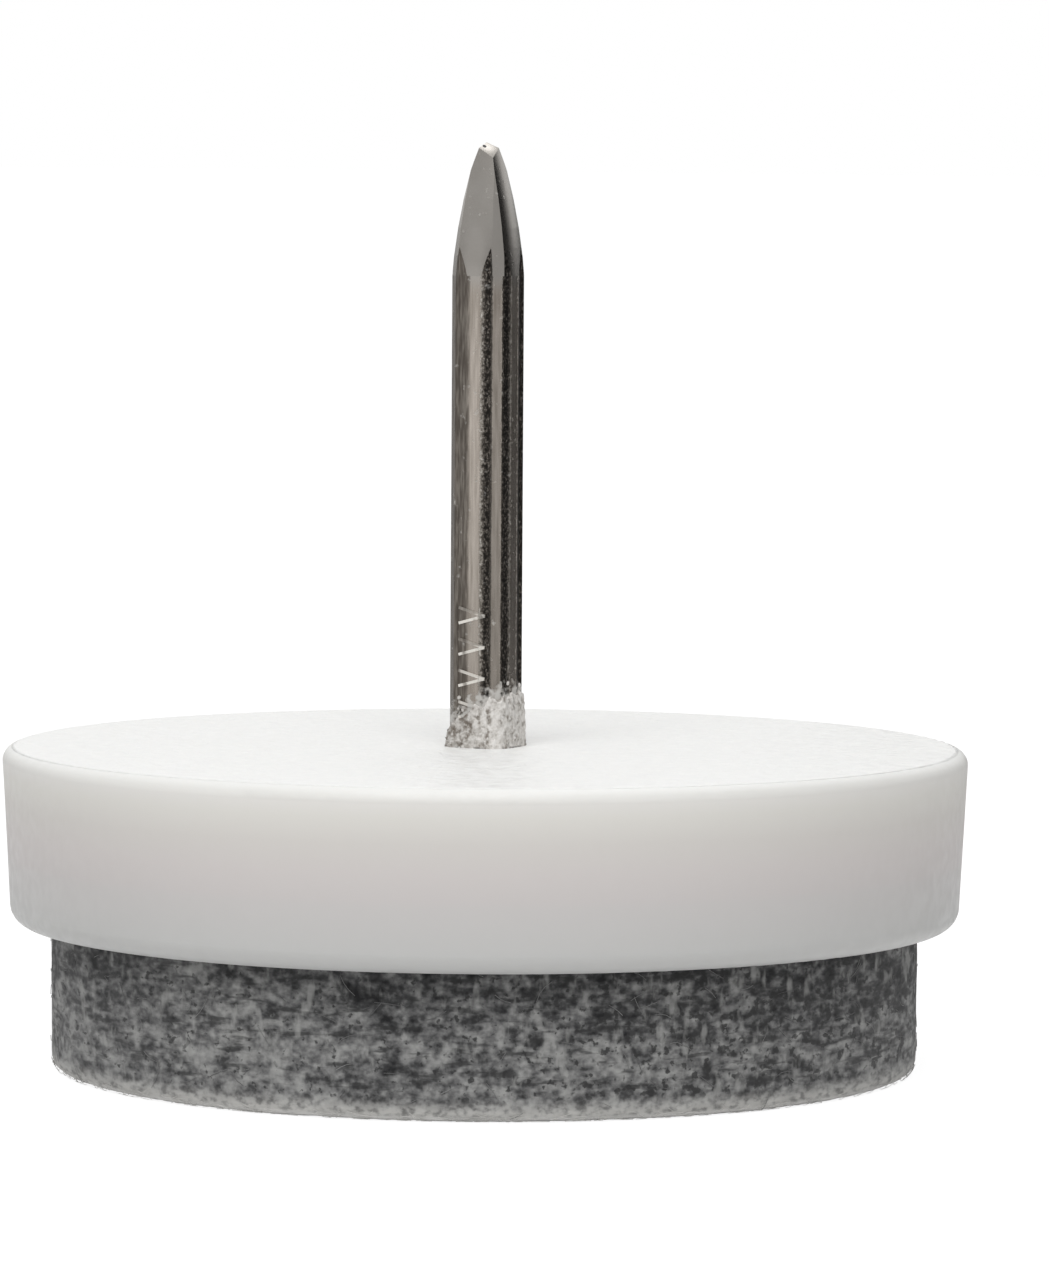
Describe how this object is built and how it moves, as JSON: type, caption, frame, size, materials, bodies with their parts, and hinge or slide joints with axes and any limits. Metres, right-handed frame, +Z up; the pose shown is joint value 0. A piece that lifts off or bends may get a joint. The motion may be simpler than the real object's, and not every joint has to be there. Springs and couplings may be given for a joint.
{
  "type": "nail-on felt furniture pad",
  "caption": "Round white plastic glide with a thick felt sole and a pointed nail that is driven into the underside of a wooden furniture leg.",
  "frame": {"origin": "centre of the felt's flat sole, on the floor", "axes": "+Z up along the nail, out of the disc's top face; the nail's four flats face along +X, -X, +Y and -Y"},
  "size_m": [0.024, 0.024, 0.023],
  "materials": {
    "plastic": "moulded off-white plastic, finely textured top face, satin side",
    "nail_steel": "drawn square steel wire, bright, with rough flutes",
    "glue": "clear yellowish hot-melt glue",
    "felt": "mottled mid-grey needled wool felt, fibres showing"
  },
  "bodies": {
    "root": {"moulded_disc": "plastic", "nail": "nail_steel", "glue_film": "glue", "felt_pad": "felt"}
  },
  "joints": []
}
